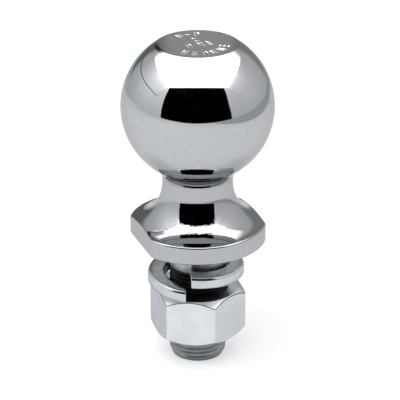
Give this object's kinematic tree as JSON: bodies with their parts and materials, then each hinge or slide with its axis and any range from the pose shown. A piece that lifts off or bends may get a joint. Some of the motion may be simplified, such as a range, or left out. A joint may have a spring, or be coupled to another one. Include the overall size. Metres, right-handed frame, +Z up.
{
  "type": "threaded tow ball",
  "caption": "Ball hitch forging with a flat crown, necked flange with spanner flats and a threaded shank that carries a split lock washer and a hex nut.",
  "frame": {"origin": "centre of the shank's free end, the lowest point", "axes": "+Z up the shank's axis through the ball to the flat crown; the flange's spanner flats face +X and -X"},
  "size_m": [0.0508, 0.0508, 0.1116],
  "materials": {
    "forging": "polished chrome plate, satin on the stamped crown and the threads",
    "washer": "bright plate over a rolled bar",
    "nut": "bright plate over a drawn bar, softer than the ball"
  },
  "bodies": {
    "forging": {"tow_ball": "forging"},
    "washer": {"lock_washer": "washer"},
    "nut": {"hex_nut": "nut"}
  },
  "joints": [
    {"name": "washer_travel", "type": "slide", "parent": "forging", "child": "washer", "axis": [0, 0, -1], "range_m": [-0.00715, 0.02541]},
    {"name": "nut_turn", "type": "hinge", "parent": "washer", "child": "nut", "pos_m": [0, 0, 0.01684], "axis": [0, 0, -1], "range_deg": [-1620, 5760]}
  ],
  "couplings": [
    {"joint": "washer_travel", "follows": "nut_turn", "m_per_rad": 0.00025266}
  ]
}
